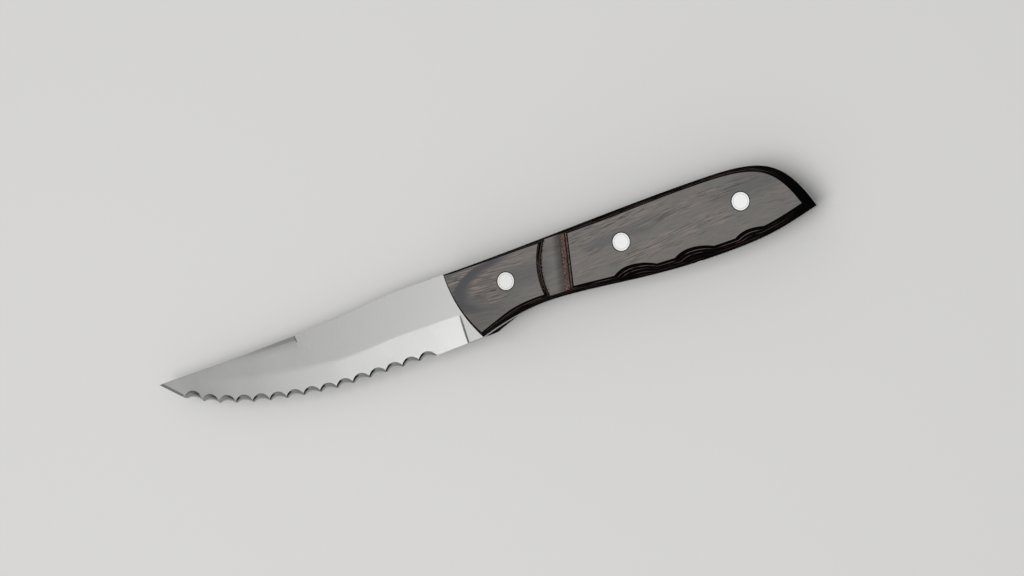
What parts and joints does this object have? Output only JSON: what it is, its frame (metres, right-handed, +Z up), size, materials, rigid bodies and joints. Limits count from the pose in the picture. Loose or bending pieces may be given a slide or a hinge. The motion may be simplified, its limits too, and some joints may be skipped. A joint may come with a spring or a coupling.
{
  "type": "steak knife",
  "caption": "Serrated steak knife with a full-tang blade and two riveted laminated-wood scales, shaped with finger grooves and a thumb channel.",
  "frame": {"origin": "middle of the knife's outline, on the surface that it lies on", "axes": "+X along the knife to the butt, with the point towards -X; +Y to the spine; +Z up, out of the left side"},
  "size_m": [0.256, 0.0286, 0.0165],
  "materials": {
    "blade_steel": "satin ground stainless steel",
    "scale_wood": "satin dark laminated wood with brown veneers",
    "rivet_metal": "bright turned metal"
  },
  "bodies": {
    "root": {"blade": "blade_steel", "left_scale": "scale_wood", "right_scale": "scale_wood", "front_rivet_tube": "rivet_metal", "middle_rivet_tube": "rivet_metal", "rear_rivet_tube": "rivet_metal", "front_rivet_post": "rivet_metal", "middle_rivet_post": "rivet_metal", "rear_rivet_post": "rivet_metal"}
  },
  "joints": []
}
